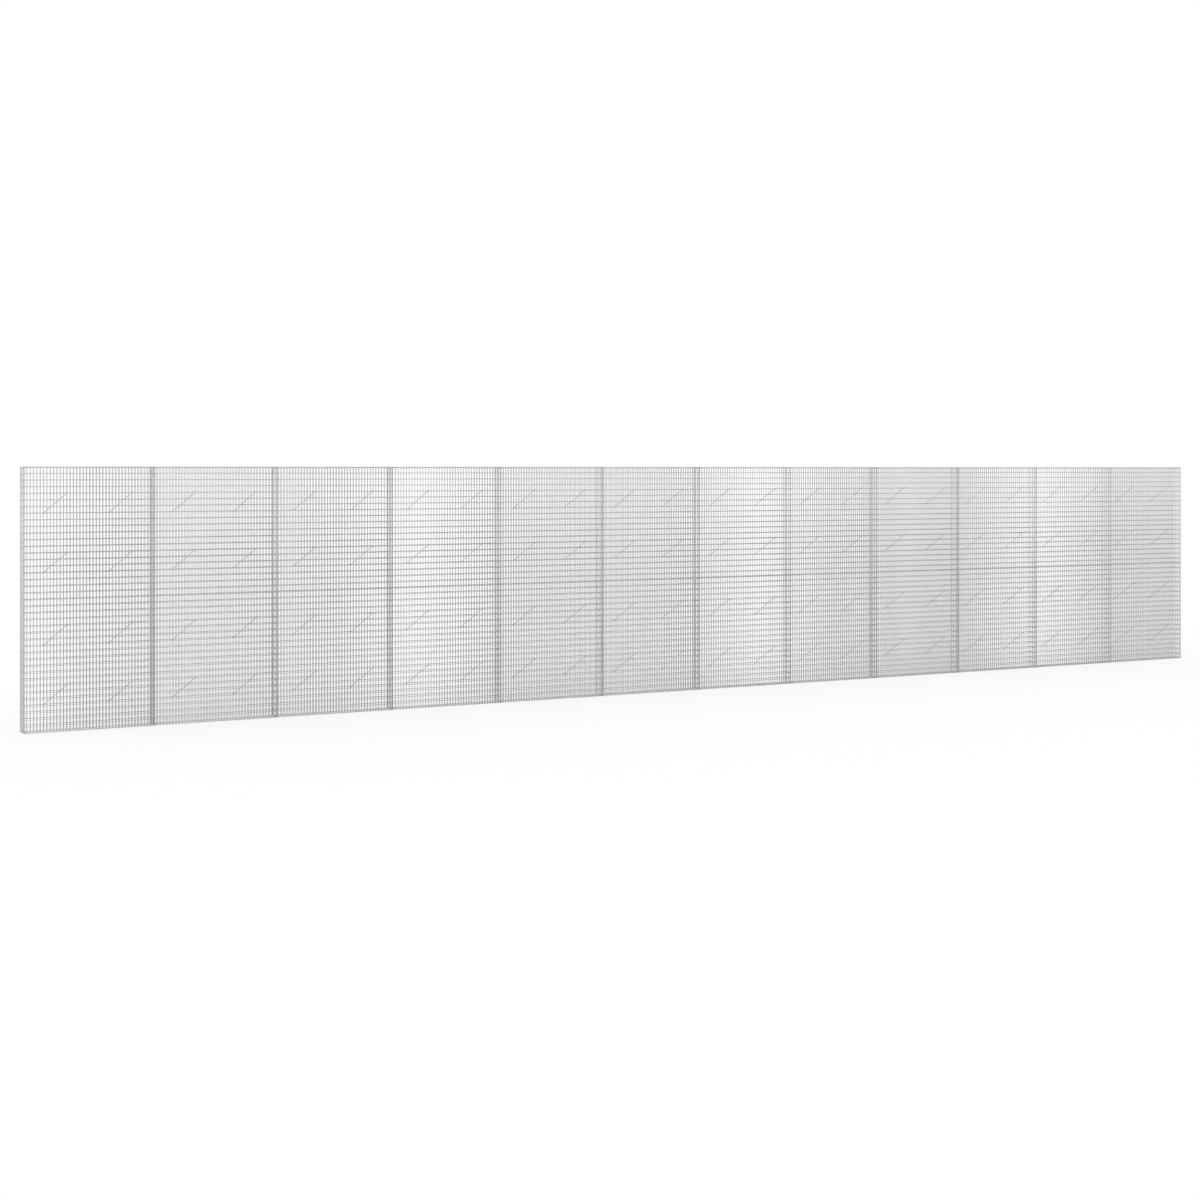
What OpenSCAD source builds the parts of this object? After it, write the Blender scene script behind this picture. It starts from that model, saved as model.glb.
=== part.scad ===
// Gabion fence: a long, thin, empty wall of welded galvanised mesh baskets.
// X runs along the wall, Y through it, and Z up. The origin is on the underside of
// the wall, at the middle of its length and depth, on the foot of a bay partition.

/* [Wall] */
// Number of bays along the wall
bay_count = 12; // [2:1:14]
// Length of one bay, from partition to partition
bay_w = 1000; // [700:10:1400]
// Number of tiers of baskets, one on another
tier_count = 2; // [1:1:3]
// Height of one tier
tier_h = 1000; // [700:10:1400]
// Depth of the wall over its outer wires
depth = 124; // [90:1:400]

/* [Mesh] */
// Thickness of the mesh wires
wire_d = 5; // [3:0.5:8]
// Distance between the uprights of the real mesh
upright_pitch = 25; // [25:25:50]
// Distance between the cross wires of the real mesh
cross_pitch = 50; // [25:25:100]
// Uprights in a partition or an end panel
side_uprights = 3; // [3:1:5]

/* [Spacers] */
// Thickness of the spacer wires
spacer_d = 4; // [3:0.5:4.5]
// How far a spacer runs along the wall, between its two hooks
spacer_run = 150; // [60:10:240]
// How far a spacer falls from its front hook to its back hook
spacer_drop = 150; // [60:10:240]
// Distance from a partition to the middle of the nearest spacer
column_inset = 250; // [200:5:300]
// Distance from the top or bottom of a tier to the middle of the nearest spacer
row_inset = 275; // [200:5:300]

/* [Clearances] */
// Gap between two panels, and between a spacer hook and its mesh
fit_gap = 0.3; // [0.2:0.1:0.8]

/* [Hidden] */
wall_l = bay_count * bay_w;
wall_h = tier_count * tier_h;

// Distances from the middle plane of the wall
upright_y = depth / 2 - 1.5 * wire_d;         // middle of the uprights of both faces
inner_y = depth / 2 - 2 * wire_d - fit_gap;   // edge of all that stands between the faces

// Spacer hooks pass this far beside the wires that they hold
hook_offset = (wire_d + spacer_d) / 2 + fit_gap;
// Middle of the hook's front, which lies in the layer of the outer wires
hook_y = upright_y + hook_offset;

// Of the real wires, a panel is drawn with its edges, the uprights under a hook, one
// upright about half way between each two of those, and four cross wires a tier
hook_columns = [
    column_inset - spacer_run / 2, column_inset + spacer_run / 2,
    bay_w / 2,
    bay_w - column_inset - spacer_run / 2, bay_w - column_inset + spacer_run / 2
];
column_lines = let (c = concat([0], hook_columns, [bay_w]))
    [for (k = [1 : len(c) - 1])
        each concat([on_pitch((c[k - 1] + c[k]) / 2, upright_pitch)],
                    k < len(c) - 1 ? [c[k]] : [])];
tier_lines = [for (k = [1 : 4]) on_pitch(k * tier_h / 4, cross_pitch)];
panel_rows = concat(
    [wire_d / 2],
    [for (t = [0 : tier_count - 1], z = tier_lines)
        t * tier_h + min(z, tier_h - (t == tier_count - 1 ? wire_d / 2 : 0))]
);

function on_pitch(v, pitch) = round(v / pitch) * pitch;
function bay_x(i) = -wall_l / 2 + (i - 1) * bay_w;
function numbered(name, i) = str(name, i < 10 ? "_0" : "_", i);

// Where the pieces inside bay i begin and end, clear of its end panel or partition
function bay_from(i) = bay_x(i) + (i == 1 ? 2 * wire_d : wire_d / 2) + fit_gap;
function bay_to(i) = bay_x(i + 1) - (i == bay_count ? 2 : 1.5) * wire_d - fit_gap;

// A welded panel in the XZ plane: square bars up at the given x on the +Y side, and
// square bars across at the given z on the -Y side, touching where they cross
module lattice(uprights, crosses, w, h) {
    for (x = uprights)
        translate([x - wire_d / 2, 0, 0]) cube([wire_d, wire_d, h]);
    for (z = crosses)
        translate([0, -wire_d, z - wire_d / 2]) cube([w, wire_d, wire_d]);
}

// One face of a bay, from the ground to the top of the wall
module face_mesh(i) {
    edge = (wire_d + fit_gap) / 2;
    w = bay_w - fit_gap;
    lines = concat([edge], column_lines, [bay_w - edge]);
    translate([bay_x(i) + fit_gap / 2, -upright_y - wire_d / 2, 0])
        lattice([for (x = lines) x - fit_gap / 2], panel_rows, w, wall_h);
}

module front_mesh(i) {
    color("silver") face_mesh(i);
}

module back_mesh(i) {
    color("lightgray") mirror([0, 1, 0]) face_mesh(i);
}

// The narrow panel that closes a bay, with its uprights spread evenly over the depth
module side_mesh() {
    w = 2 * inner_y;
    pitch = (w - wire_d) / (side_uprights - 1);
    lines = [for (k = [0 : side_uprights - 1]) wire_d / 2 + k * pitch];
    lattice(lines, panel_rows, w, wall_h);
}

// Stands between bay i and the next, its cross wires centred on the line between them
module partition_mesh(i) {
    color("darkgray") translate([bay_x(i + 1) - wire_d / 2, -inner_y, 0])
        rotate([0, 0, 90]) side_mesh();
}

module end_mesh_left() {
    color("gray") translate([-wall_l / 2 + wire_d, inner_y, 0])
        rotate([0, 0, -90]) side_mesh();
}

module end_mesh_right() {
    color("gray") mirror([1, 0, 0]) translate([-wall_l / 2 + wire_d, inner_y, 0])
        rotate([0, 0, -90]) side_mesh();
}

// A level strip in every bay: two long wires, and above them the bars that join them
module level_strips() {
    for (i = [1 : bay_count]) {
        from = bay_from(i);
        w = bay_to(i) - from;
        inner_bars = [for (k = [1 : 3]) bay_x(i) + on_pitch(k * bay_w / 4, upright_pitch) - from];
        bars = concat([wire_d / 2], inner_bars, [w - wire_d / 2]);
        translate([from, inner_y, 0]) rotate([90, 0, 0])
            lattice(bars, [wire_d / 2, 2 * inner_y - wire_d / 2], w, 2 * inner_y);
    }
}

module base_mesh() {
    color("dimgray") translate([0, 0, wire_d]) level_strips();
}

// One level between each two tiers, its long wires level with the cross wires there
module middle_mesh() {
    color("dimgray")
        for (t = [1 : tier_count - 1])
            translate([0, 0, t * tier_h + wire_d / 2]) level_strips();
}

// The cover: its long wires are on top, level with the top wires of both faces
module lid_mesh() {
    color("dimgray") translate([0, 0, wall_h - wire_d]) mirror([0, 0, 1]) level_strips();
}

// A square bar between two points on one axis, as long as to close the corner there
module square_bar(a, b) {
    low = [min(a.x, b.x), min(a.y, b.y), min(a.z, b.z)];
    size = [for (k = [0 : 2]) abs(a[k] - b[k]) + spacer_d];
    translate(low) translate(-spacer_d / 2 * [1, 1, 1]) cube(size);
}

// A slanting four-sided rod between two points
module rod(a, b) {
    v = b - a;
    translate(a) rotate([0, acos(v.z / norm(v)), atan2(v.y, v.x)])
        cylinder(d = spacer_d, h = norm(v), $fn = 4);
}

// One spacer: a slanting rod from the front to the back, hooked round an upright at
// each end, just clear of the cross wire there
module spacer(front, back) {
    leg_y = inner_y - spacer_d;
    front_x = front.x + hook_offset;
    front_z = front.z + hook_offset;
    back_x = back.x - hook_offset;
    back_z = back.z - hook_offset;
    square_bar([front.x - hook_offset, -hook_y, front_z], [front_x, -hook_y, front_z]);
    square_bar([front_x, -hook_y, front_z], [front_x, -leg_y, front_z]);
    rod([front_x, -leg_y, front_z], [back_x, leg_y, back_z]);
    square_bar([back_x, leg_y, back_z], [back_x, hook_y, back_z]);
    square_bar([back_x, hook_y, back_z], [back.x + hook_offset, hook_y, back_z]);
}

// The spacers of tier t: two columns in each bay and two rows
module spacers_tier(t) {
    color("slategray")
        for (i = [1 : bay_count], column = [column_inset, bay_w - column_inset],
             row = [row_inset, tier_h - row_inset]) {
            x = bay_x(i) + column;
            z = (t - 1) * tier_h + row;
            spacer([x + spacer_run / 2, 0, z + spacer_drop / 2],
                   [x - spacer_run / 2, 0, z - spacer_drop / 2]);
        }
}

for (i = [1 : bay_count]) {
    front_mesh(i);
    back_mesh(i);
}
for (i = [1 : bay_count - 1])
    partition_mesh(i);
end_mesh_left();
end_mesh_right();
base_mesh();
middle_mesh();
lid_mesh();
for (t = [1 : tier_count])
    spacers_tier(t);
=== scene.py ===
# %% [markdown]
# # A gabion fence of empty wire baskets
# A gabion is a basket of welded steel wire that is filled with stone on the site. This wall
# is a row of narrow baskets, two tiers high, as it stands before it is filled. Nearly all
# of it is straight galvanised wire, so the lesson is about making thousands of wires from
# a few that are modelled once, and about giving thin metal a finish that reads well.

# %% Load the fixed frame
import math

import bmesh
import bpy
from mathutils import Matrix, Vector


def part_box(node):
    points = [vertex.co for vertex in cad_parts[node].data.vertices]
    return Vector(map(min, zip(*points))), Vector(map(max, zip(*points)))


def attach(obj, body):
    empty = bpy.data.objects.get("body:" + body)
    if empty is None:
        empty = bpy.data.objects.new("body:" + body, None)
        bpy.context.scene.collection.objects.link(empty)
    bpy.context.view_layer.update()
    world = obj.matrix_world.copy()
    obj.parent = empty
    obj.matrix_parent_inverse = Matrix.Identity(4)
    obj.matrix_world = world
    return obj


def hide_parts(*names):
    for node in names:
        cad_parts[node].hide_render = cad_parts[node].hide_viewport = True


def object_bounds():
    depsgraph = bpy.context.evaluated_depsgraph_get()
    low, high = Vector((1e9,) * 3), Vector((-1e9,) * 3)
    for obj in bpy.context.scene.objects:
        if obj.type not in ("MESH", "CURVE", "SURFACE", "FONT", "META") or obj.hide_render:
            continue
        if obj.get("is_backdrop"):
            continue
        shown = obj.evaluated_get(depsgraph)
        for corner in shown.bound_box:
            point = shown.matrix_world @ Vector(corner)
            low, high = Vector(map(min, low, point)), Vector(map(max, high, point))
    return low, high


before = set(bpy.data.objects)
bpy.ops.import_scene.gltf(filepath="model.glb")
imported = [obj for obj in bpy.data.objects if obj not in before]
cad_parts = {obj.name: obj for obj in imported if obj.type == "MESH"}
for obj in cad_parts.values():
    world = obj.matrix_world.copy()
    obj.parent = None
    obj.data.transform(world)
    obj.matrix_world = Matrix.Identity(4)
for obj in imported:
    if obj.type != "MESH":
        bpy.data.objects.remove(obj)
cad_low, cad_high = (Vector(corner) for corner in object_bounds())
print("wall", [round(size, 3) for size in cad_high - cad_low], "m")

# %% [markdown]
# ## Sizes
# Every size comes from the frame, so that this script still fits if the frame changes. A
# face panel of the frame is two wires thick, and a bay is as long as from one face panel
# to the next. The frame draws a coarser mesh than the real one, so the pitch is set here:
# uprights stand close together, and the wires across them are twice as far apart.

# %% Read the driving sizes from the frame
numbers_of_bays = sorted(int(name[-2:]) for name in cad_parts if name.startswith("front_mesh"))
BAYS = len(numbers_of_bays)
first_low, first_high = (Vector(corner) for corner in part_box("front_mesh_01"))
second_low, _ = (Vector(corner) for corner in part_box("front_mesh_02"))
middle_low, _ = (Vector(corner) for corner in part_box("middle_mesh"))

WIRE = (first_high.y - first_low.y) / 2
BAY = second_low.x - first_low.x
GAP = BAY - (first_high.x - first_low.x)
TIER = middle_low.z + WIRE / 2
HEIGHT = first_high.z
UPRIGHT_PITCH = 0.025
CROSS_PITCH = 0.050
SIDE_UPRIGHTS = 5
print(f"{BAYS} bays of {BAY:.3f} m, tiers of {TIER:.3f} m, wire {WIRE * 1000:.1f} mm")

# %% [markdown]
# ## Camera
# A camera that sees two vanishing points keeps upright lines upright, so it is level, and
# the picture is moved up on the sensor instead of tilting the camera. It is placed from
# the near end of the wall, a little below the top of the baskets.

# %% Place the camera
LENS = 59.15
TURN = math.radians(29.81)
EYE = Vector((cad_low.x - 3.590, cad_low.y + 1.5 * WIRE - 14.94, 1.978))
camera = bpy.data.objects.new("camera", bpy.data.cameras.new("camera"))
camera.data.lens = LENS
camera.data.shift_y = -0.1087
camera.data.clip_end = 400
camera.location = EYE
camera.rotation_euler = (math.pi / 2, 0, -TURN)
bpy.context.collection.objects.link(camera)
bpy.context.scene.camera = camera
print("camera at", [round(v, 2) for v in EYE])

# %% [markdown]
# ## Writing shader maths as expressions
# A material is a graph of nodes, and its sums are hard to read when each needs four lines.
# This small class wraps one socket, so that `a * 0.5 + b` adds the Math nodes for it.

# %% A socket that understands + - * /
class Channel:
    def __init__(self, tree, socket):
        self.tree = tree
        self.socket = socket

    def math(self, operation, other=None, swap=False):
        node = self.tree.nodes.new("ShaderNodeMath")
        node.operation = operation
        mine, theirs = (1, 0) if swap else (0, 1)
        self.tree.links.new(self.socket, node.inputs[mine])
        if isinstance(other, Channel):
            self.tree.links.new(other.socket, node.inputs[theirs])
        elif other is not None:
            node.inputs[theirs].default_value = other
        return Channel(self.tree, node.outputs[0])

    def __add__(self, other): return self.math("ADD", other)
    def __radd__(self, other): return self.math("ADD", other)
    def __sub__(self, other): return self.math("SUBTRACT", other)
    def __rsub__(self, other): return self.math("SUBTRACT", other, swap=True)
    def __mul__(self, other): return self.math("MULTIPLY", other)
    def __rmul__(self, other): return self.math("MULTIPLY", other)
    def __truediv__(self, other): return self.math("DIVIDE", other)


# %% A material with a method for any other node
class Finish:
    def __init__(self, name):
        self.material = bpy.data.materials.new(name)
        self.material.use_nodes = True
        self.tree = self.material.node_tree
        self.shader = self.tree.nodes["Principled BSDF"]

    def node(self, kind, settings=None, **inputs):
        made = self.tree.nodes.new(kind)
        for key, value in (settings or {}).items():
            setattr(made, key, value)
        for key, value in inputs.items():
            self.feed(made.inputs[key.replace("_", " ")], value)
        return made

    def feed(self, socket, value):
        if isinstance(value, Channel):
            self.tree.links.new(value.socket, socket)
        elif isinstance(value, bpy.types.NodeSocket):
            self.tree.links.new(value, socket)
        else:
            socket.default_value = value

    def channel(self, node, output=0):
        return Channel(self.tree, node.outputs[output])

    def ramp(self, value, stops):
        made = self.node("ShaderNodeValToRGB", Fac=value)
        made.color_ramp.elements[0].position, made.color_ramp.elements[0].color = stops[0]
        made.color_ramp.elements[1].position, made.color_ramp.elements[1].color = stops[-1]
        for position, colour in stops[1:-1]:
            made.color_ramp.elements.new(position).color = colour
        return made.outputs[0]

    def set(self, **values):
        for key, value in values.items():
            self.feed(self.shader.inputs[key.replace("_", " ")], value)


def grey(level):
    return (level, level, level * 1.005, 1)


# %% [markdown]
# ## Galvanised wire
# Zinc from a hot bath freezes in crystals, a few millimetres across, each a slightly
# different grey. Under them the coat is cloudy over some centimetres, dull where it has
# weathered and brighter where it is fresh. The crystals are a Voronoi pattern, the clouds
# are noise, and both read Object coordinates. The metal's shine varies with them. The
# narrow panels across the wall and the level strips are painted a lighter grey than the
# faces. This is painted light against their shade: they are seen edge on, wire behind
# wire, and would read too dark.

# %% Make the wire finishes
CRYSTALS_PER_METRE = 320.0
CLOUDS_PER_METRE = 14.0
GRAINS_PER_METRE = 900.0


def galvanised(name, dark, light, rough):
    finish = Finish(name)
    place = finish.node("ShaderNodeTexCoord").outputs["Object"]
    crystal = finish.node(
        "ShaderNodeTexVoronoi", {"feature": "F1"}, Vector=place, Scale=CRYSTALS_PER_METRE
    )
    cloud = finish.node("ShaderNodeTexNoise", Vector=place, Scale=CLOUDS_PER_METRE, Detail=4.0)
    grain = finish.node("ShaderNodeTexNoise", Vector=place, Scale=GRAINS_PER_METRE, Detail=2.0)
    tone = finish.node("ShaderNodeSeparateColor", Color=crystal.outputs["Color"])
    facet = finish.channel(tone, 0)
    cloudy = finish.channel(cloud, 0)
    mix = facet * 0.35 + cloudy * 0.65
    finish.set(
        Base_Color=finish.ramp(mix, [(0.25, grey(dark)), (0.75, grey(light))]),
        Metallic=0.9,
        Roughness=rough + cloudy * 0.16 - facet * 0.08,
    )
    bump = finish.node(
        "ShaderNodeBump", Strength=0.25, Distance=0.0004, Height=finish.channel(grain, 0) + facet * 0.5
    )
    finish.set(Normal=bump.outputs[0])
    return finish.material


WIRE_FINISH = galvanised("galvanised_wire", 0.44, 0.58, 0.42)
# The side wire's lighter grey is painted light, against the shade of wire behind wire seen edge on.
SIDE_PAINTED_LIGHT_FINISH = galvanised("galvanised_side_wire_painted_light", 0.60, 0.74, 0.50)
WELD_FINISH = galvanised("galvanised_weld", 0.46, 0.60, 0.50)
SPACER_FINISH = galvanised("galvanised_spacer", 0.30, 0.44, 0.36)
print("finishes", [m.name for m in (WIRE_FINISH, SIDE_PAINTED_LIGHT_FINISH, WELD_FINISH, SPACER_FINISH)])

# %% [markdown]
# ## One straight wire
# A cut length of wire is a cylinder whose ends are slightly rounded by the shear. It could
# be a curve with a bevel, but a cone primitive with equal radii has fewer faces, and a
# bevel on the two rims rounds the cuts. It is modelled along Z, once for each length, and
# copied from then on. Twelve sides are enough for a wire that is seen from some metres.

# %% Model a straight wire along Z
WIRE_SIDES = 12
CUT_ROUND = 0.14
wire_stock = {}


def wire_mesh(length, diameter=WIRE):
    key = (round(length, 6), diameter)
    if key not in wire_stock:
        bm = bmesh.new()
        bmesh.ops.create_cone(
            bm, cap_ends=True, segments=WIRE_SIDES, radius1=diameter / 2, radius2=diameter / 2,
            depth=length, matrix=Matrix.Translation((0, 0, length / 2)),
        )
        rims = [e for e in bm.edges if any(len(f.verts) > 4 for f in e.link_faces)]
        bmesh.ops.bevel(
            bm, geom=rims, offset=diameter * CUT_ROUND, affect="EDGES", segments=1, profile=0.5, material=-1
        )
        for face in bm.faces:
            face.smooth = len(face.verts) == 4
        wire_stock[key] = bpy.data.meshes.new(f"wire_{len(wire_stock)}")
        bm.to_mesh(wire_stock[key])
        bm.free()
    return wire_stock[key]


print("faces in a wire", len(wire_mesh(1.0).polygons))

# %% [markdown]
# ## One weld
# Where two wires cross they are pressed together and welded, and the zinc bath leaves a
# small web of metal in the four corners between them. There are tens of thousands of
# these, so each is an eight-sided lump: a sphere of the fewest faces, pressed flat and
# turned so that its points lie in the corners.

# %% Model a weld in the XZ plane
WELD_REACH = WIRE * 0.84
WELD_FLATNESS = 0.36


def weld_mesh():
    bm = bmesh.new()
    bmesh.ops.create_uvsphere(bm, u_segments=4, v_segments=2, radius=WELD_REACH)
    bmesh.ops.scale(bm, vec=(1, 1, WELD_FLATNESS), verts=bm.verts)
    bmesh.ops.rotate(bm, matrix=Matrix.Rotation(math.pi / 4, 3, "Z"), verts=bm.verts)
    bmesh.ops.rotate(bm, matrix=Matrix.Rotation(math.pi / 2, 3, "X"), verts=bm.verts)
    for face in bm.faces:
        face.smooth = True
        face.material_index = 1
    mesh = bpy.data.meshes.new("weld")
    bm.to_mesh(mesh)
    bm.free()
    return mesh


WELD = weld_mesh()
print("faces in a weld", len(WELD.polygons))


# %% Put a copy of a stock mesh in its place
def place(bm, mesh, matrix):
    bm.verts.ensure_lookup_table()
    count = len(bm.verts)
    bm.from_mesh(mesh)
    bm.verts.ensure_lookup_table()
    bmesh.ops.transform(bm, matrix=matrix, verts=bm.verts[count:])


# %% [markdown]
# ## One welded panel
# A panel is a row of uprights with a row of wires across them. It is built flat in the XZ
# plane, with the uprights on the +Y side, and the cross wires on the -Y side. The two
# rows are pressed into each other a little, as welding does, so the wires don't merely
# touch. Panels of all shapes come from this one function.

# %% Build a panel from stock wires
SINK = WIRE * 0.06


def add_panel(bm, uprights, crosses, width, height, matrix=Matrix()):
    upright_y = WIRE / 2 - SINK
    for x in uprights:
        place(bm, wire_mesh(height), matrix @ Matrix.Translation((x, upright_y, 0)))
    lying = Matrix.Rotation(math.pi / 2, 4, "Y")
    for z in crosses:
        place(bm, wire_mesh(width), matrix @ Matrix.Translation((0, -upright_y, z)) @ lying)
    for x in uprights:
        for z in crosses:
            place(bm, WELD, matrix @ Matrix.Translation((x, 0, z)))


def pitched(low, high, pitch):
    """Lines on the pitch between two edge wires, which stand half a wire in."""
    count = round((high - low) / pitch)
    inner = [low + (high - low) * k / count for k in range(1, count)]
    return [low + WIRE / 2] + inner + [high - WIRE / 2]


# %% [markdown]
# ## Making a piece
# A finished panel becomes one object at the origin, with its place in its mesh. It rides on
# the frame's only body, and hides the node of the frame that it stands for.

# %% Turn a mesh into a piece of the wall
def piece(name, mesh, finishes, slot, *nodes):
    for finish in finishes:
        mesh.materials.append(finish)
    made = bpy.data.objects.new(name, mesh)
    bpy.context.collection.objects.link(made)
    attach(made, "root")
    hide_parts(*nodes)
    return made


def to_mesh(bm, name):
    mesh = bpy.data.meshes.new(name)
    bm.to_mesh(mesh)
    bm.free()
    return mesh


def triangles(mesh):
    return sum(len(face.vertices) - 2 for face in mesh.polygons)


# %% [markdown]
# ## Front and back panels
# All front panels are alike, so one is modelled in the first bay, and the others are copies
# of its mesh, moved along the wall. A back panel is a front panel turned half round about
# the middle of its bay, which keeps its faces pointing outwards, as a mirror would not.

# %% Model a face panel and copy it to every bay
def line_of_faces():
    bm = bmesh.new()
    corner = Matrix.Translation((first_low.x, first_low.y + WIRE, 0))
    inner = [k * UPRIGHT_PITCH - GAP / 2 for k in range(1, round(BAY / UPRIGHT_PITCH))]
    uprights = [WIRE / 2] + inner + [BAY - GAP - WIRE / 2]
    add_panel(bm, uprights, pitched(0, HEIGHT, CROSS_PITCH), BAY - GAP, HEIGHT, corner)
    return to_mesh(bm, "face_panel")


face_panel = line_of_faces()
half_turn = Matrix.Rotation(math.pi, 4, "Z")
bay_middle = Matrix.Translation((cad_low.x + BAY / 2, 0, 0))
turned = bay_middle @ half_turn @ bay_middle.inverted()

for number in numbers_of_bays:
    along = Matrix.Translation(((number - 1) * BAY, 0, 0))
    for side, matrix in (("front", along), ("back", along @ turned)):
        mesh = face_panel.copy()
        mesh.transform(matrix)
        node = f"{side}_mesh_{number:02d}"
        piece(f"{side}_panel_{number:02d}", mesh, [WIRE_FINISH, WELD_FINISH], "galvanised_mesh", node)
print("triangles in a face panel", triangles(face_panel))

# %% [markdown]
# ## Partitions and ends
# A partition closes a bay on each side. It is a narrow panel of the same mesh that stands
# across the wall, turned a quarter round. The two ends of the wall have the same panel
# with its cross wires outside. The frame gives the box, and the uprights are spread
# evenly across it.

# %% Model the panels across the wall
def side_panel(node, turn):
    low, high = (Vector(corner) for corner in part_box(node))
    depth = high.y - low.y
    bm = bmesh.new()
    start = low.y if turn > 0 else high.y
    matrix = (
        Matrix.Translation(((low.x + high.x) / 2, start, 0)) @ Matrix.Rotation(turn * math.pi / 2, 4, "Z")
    )
    spread = (depth - WIRE) / (SIDE_UPRIGHTS - 1)
    uprights = [WIRE / 2 + k * spread for k in range(SIDE_UPRIGHTS)]
    add_panel(bm, uprights, pitched(0, HEIGHT, CROSS_PITCH), depth, HEIGHT, matrix)
    return to_mesh(bm, node)


# Partitions and ends take the side wire, whose lighter grey is painted light against their shade.
SIDE_PAINTED_LIGHT_FINISHES = [SIDE_PAINTED_LIGHT_FINISH, WELD_FINISH]
for number in range(1, BAYS):
    node = f"partition_mesh_{number:02d}"
    piece(f"partition_{number:02d}", side_panel(node, 1), SIDE_PAINTED_LIGHT_FINISHES, "galvanised_mesh", node)
for side, turn in (("left", -1), ("right", 1)):
    node = f"end_mesh_{side}"
    made = piece(f"end_{side}", side_panel(node, turn), SIDE_PAINTED_LIGHT_FINISHES, "galvanised_mesh", node)
print("triangles in an end", triangles(made.data))

# %% [markdown]
# ## Base, middle level and cover
# A level strip in each bay closes the basket below and above. It has two long wires and
# short bars between them. The base and the middle level have their bars on top, and the
# cover is turned over, so that its long wires are level with the top of the wall.

# %% Model the level strips
def inside_of_bay(number):
    before = "end_mesh_left" if number == 1 else f"partition_mesh_{number - 1:02d}"
    after = "end_mesh_right" if number == BAYS else f"partition_mesh_{number:02d}"
    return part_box(before)[1][0] + GAP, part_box(after)[0][0] - GAP


def level_strips(node, over):
    low, high = (Vector(corner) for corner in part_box(node))
    middle_z = (low.z + high.z) / 2
    depth = high.y - low.y
    bm = bmesh.new()
    for number in numbers_of_bays:
        start, end = inside_of_bay(number)
        line = cad_low.x + (number - 1) * BAY
        inner = [line + k * UPRIGHT_PITCH - start for k in range(1, round(BAY / UPRIGHT_PITCH))]
        bars = [WIRE / 2] + [x for x in inner if WIRE < x < end - start - WIRE] + [end - start - WIRE / 2]
        tip = Matrix.Translation((start, high.y, middle_z)) @ Matrix.Rotation(math.pi / 2, 4, "X")
        if over:
            tip = Matrix.Translation((start, low.y, middle_z)) @ Matrix.Rotation(-math.pi / 2, 4, "X")
        add_panel(bm, bars, [WIRE / 2, depth - WIRE / 2], end - start, depth, tip)
    return to_mesh(bm, node)


# The level strips take the side wire too, with its lighter grey that is painted light.
for name, node, over in (
    ("base_strips", "base_mesh", False),
    ("middle_strips", "middle_mesh", False),
    ("cover_strips", "lid_mesh", True),
):
    made = piece(name, level_strips(node, over), SIDE_PAINTED_LIGHT_FINISHES, "galvanised_mesh", node)
    print(name, triangles(made.data), "triangles")

# %% [markdown]
# ## Spacers
# A spacer keeps the two faces apart when the stone presses on them. It is one wire, hooked
# round an upright of the front and round one of the back, and it slants down between them.
# A wire bender works in two moves, so this does too: it pushes the wire straight on,
# which is an extrusion of its round end, and it bends it, which is a spin about the
# bend's centre.

# %% A wire bender
SPACER_WIRE = 0.004
SPACER_BEND = 0.0028
SPACER_SIDES = 10
DEGREES_A_STEP = 22


def straight_on(bm, ring, way):
    grown = bmesh.ops.extrude_edge_only(bm, edges=ring)["geom"]
    bmesh.ops.translate(bm, vec=way, verts=[g for g in grown if isinstance(g, bmesh.types.BMVert)])
    edges = [g for g in grown if isinstance(g, bmesh.types.BMEdge)]
    return [edge for edge in edges if len(edge.link_faces) == 1]


def bend_round(bm, ring, centre, axis, angle):
    steps = max(2, round(angle / math.radians(DEGREES_A_STEP)))
    spun = bmesh.ops.spin(bm, geom=ring, cent=centre, axis=axis, dvec=(0, 0, 0), angle=angle, steps=steps)
    return [g for g in spun["geom_last"] if isinstance(g, bmesh.types.BMEdge)]


def bent_wire(bm, points, diameter, bend):
    heading = (points[1] - points[0]).normalized()
    turn = Vector((0, 0, 1)).rotation_difference(heading).to_matrix().to_4x4()
    start = Matrix.Translation(points[0]) @ turn
    circle = bmesh.ops.create_circle(bm, segments=SPACER_SIDES, radius=diameter / 2, matrix=start)["verts"]
    first = ring = list({edge for vert in circle for edge in vert.link_edges})
    here = points[0]
    for corner, after in zip(points[1:], points[2:] + [None]):
        if after is None:
            ring = straight_on(bm, ring, corner - here)
            break
        onward = (after - corner).normalized()
        angle = heading.angle(onward)
        back_off = bend * math.tan(angle / 2)
        ring = straight_on(bm, ring, corner - heading * back_off - here)
        here = corner - heading * back_off
        axis = heading.cross(onward).normalized()
        centre = here + axis.cross(heading) * bend
        ring = bend_round(bm, ring, centre, axis, angle)
        here = corner + onward * back_off
        heading = onward
    for rim in (first, ring):
        bmesh.ops.edgeloop_fill(bm, edges=rim)
    bmesh.ops.remove_doubles(bm, verts=bm.verts, dist=1e-6)
    bmesh.ops.recalc_face_normals(bm, faces=bm.faces)
    for face in bm.faces:
        face.smooth = len(face.verts) == 4


# %% [markdown]
# The hooks must close round the uprights of the mesh, and clear the cross wire below. So a
# spacer is laid out from the upright's own centre line and a small clearance. It runs as
# far down as it runs along the wall, and each basket has four, in two columns and two
# rows, at the same distance from the bay line and from the level above or below.

# %% Work out one spacer, and repeat it through a tier
FACE_Y = cad_high.y - 1.5 * WIRE
CLEAR = (WIRE + SPACER_WIRE) / 2 + GAP
RUN = 0.150
DROP = 0.150
COLUMN = 0.250
ROW = 0.275


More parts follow.
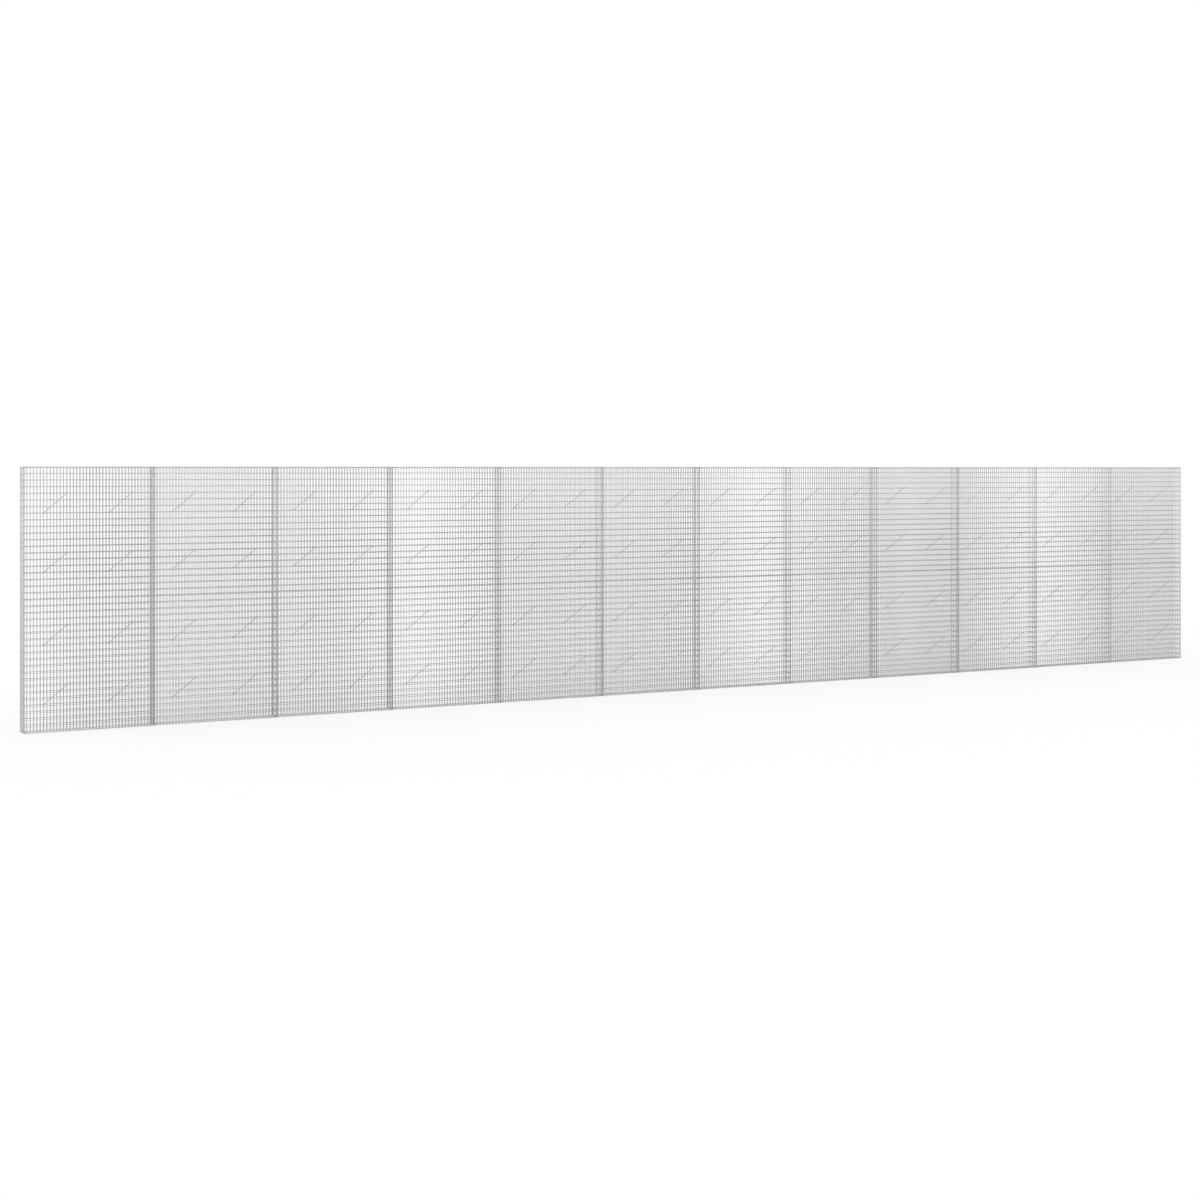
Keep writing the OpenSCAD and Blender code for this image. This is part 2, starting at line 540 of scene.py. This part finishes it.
def spacer_mesh():
    front_x, back_x = RUN / 2 + CLEAR, -RUN / 2 - CLEAR
    front_z, back_z = DROP / 2 + CLEAR, -DROP / 2 - CLEAR
    hook_y = FACE_Y + CLEAR
    leg_y = FACE_Y - WIRE
    points = [
        (RUN / 2 - CLEAR, -FACE_Y + WIRE * 0.2, front_z),
        (RUN / 2 - CLEAR, -hook_y, front_z),
        (front_x, -hook_y, front_z),
        (front_x, -leg_y, front_z),
        (back_x, leg_y, back_z),
        (back_x, hook_y, back_z),
        (-RUN / 2 + CLEAR, hook_y, back_z),
        (-RUN / 2 + CLEAR, FACE_Y - WIRE * 0.2, back_z),
    ]
    bm = bmesh.new()
    bent_wire(bm, [Vector(p) for p in points], SPACER_WIRE, SPACER_BEND)
    return to_mesh(bm, "spacer")


SPACER = spacer_mesh()


def tier_of_spacers(tier):
    bm = bmesh.new()
    for number in numbers_of_bays:
        for column in (COLUMN, BAY - COLUMN):
            for row in (ROW, TIER - ROW):
                x = cad_low.x + (number - 1) * BAY + column
                place(bm, SPACER, Matrix.Translation((x, 0, (tier - 1) * TIER + row)))
    return to_mesh(bm, f"spacers_{tier}")


for tier in (1, 2):
    node = f"spacers_tier_{tier:02d}"
    made = piece(f"spacers_{tier:02d}", tier_of_spacers(tier), [SPACER_FINISH], "spacer_wire", node)
    print(made.name, triangles(made.data), "triangles")

# %% [markdown]
# ## Floor, light and surroundings
# Bright metal shows what is round it, so the surroundings matter more than the lamps. The
# world is white for the camera and for reflections, and dimmer as a light. One broad sun
# from the upper left gives the wires a lit side. Sky and sun together light a level
# surface at exactly 1, so that a colour looks as it is written, and the floor is white
# because its paint is. Looked at straight on, or in a reflection, part of the floor is plain
# white paper, which softens the wall's shadow and does not light the wall.

# %% Lay the floor
FLOOR_WHITE = 0.6
FLOOR_RADIUS = 150
FLOOR_DROP = 0.0005


def straight_looks(tree):
    """1 where a surface is seen by the camera, in a reflection or through glass."""
    rays = tree.nodes.new("ShaderNodeLightPath")
    seen = Channel(tree, rays.outputs["Is Camera Ray"])
    seen = seen + Channel(tree, rays.outputs["Is Glossy Ray"])
    seen = seen + Channel(tree, rays.outputs["Is Transmission Ray"])
    return seen.math("MINIMUM", 1.0)


def floor():
    bm = bmesh.new()
    bmesh.ops.create_circle(bm, cap_ends=True, segments=64, radius=FLOOR_RADIUS)
    made = bpy.data.objects.new("floor", to_mesh(bm, "floor"))
    bpy.context.collection.objects.link(made)
    finish = Finish("floor_paint")
    finish.set(Base_Color=(1, 1, 1, 1), Roughness=0.9, Specular_IOR_Level=0.0)
    paper = finish.node("ShaderNodeEmission", Color=(1, 1, 1, 1), Strength=1.0)
    blend = finish.node("ShaderNodeMixShader", Fac=straight_looks(finish.tree) * FLOOR_WHITE)
    finish.tree.links.new(finish.shader.outputs[0], blend.inputs[1])
    finish.tree.links.new(paper.outputs[0], blend.inputs[2])
    output = finish.tree.nodes["Material Output"]
    finish.tree.links.new(blend.outputs[0], output.inputs["Surface"])
    made.data.materials.append(finish.material)
    made.location.z = -FLOOR_DROP
    made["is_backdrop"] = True


floor()

# %% Light it
SKY = 0.82
SUN_FROM_UPRIGHT = math.radians(48)
SUN = (1 - SKY) * math.pi / math.cos(SUN_FROM_UPRIGHT)
lamp = bpy.data.objects.new("sun", bpy.data.lights.new("sun", "SUN"))
lamp.data.energy = SUN
lamp.data.angle = math.radians(50)
lamp.rotation_euler = (SUN_FROM_UPRIGHT, 0, math.radians(-38))
bpy.context.collection.objects.link(lamp)

world = bpy.data.worlds.new("studio")
bpy.context.scene.world = world
world.use_nodes = True
links = world.node_tree.links
white_for = straight_looks(world.node_tree)
background = world.node_tree.nodes["Background"]
background.inputs["Color"].default_value = (1, 1, 1, 1)
links.new((white_for * (1 - SKY) + SKY).socket, background.inputs["Strength"])
bpy.context.scene.view_settings.view_transform = "Standard"
print("sun", round(SUN, 3), "sky", SKY)
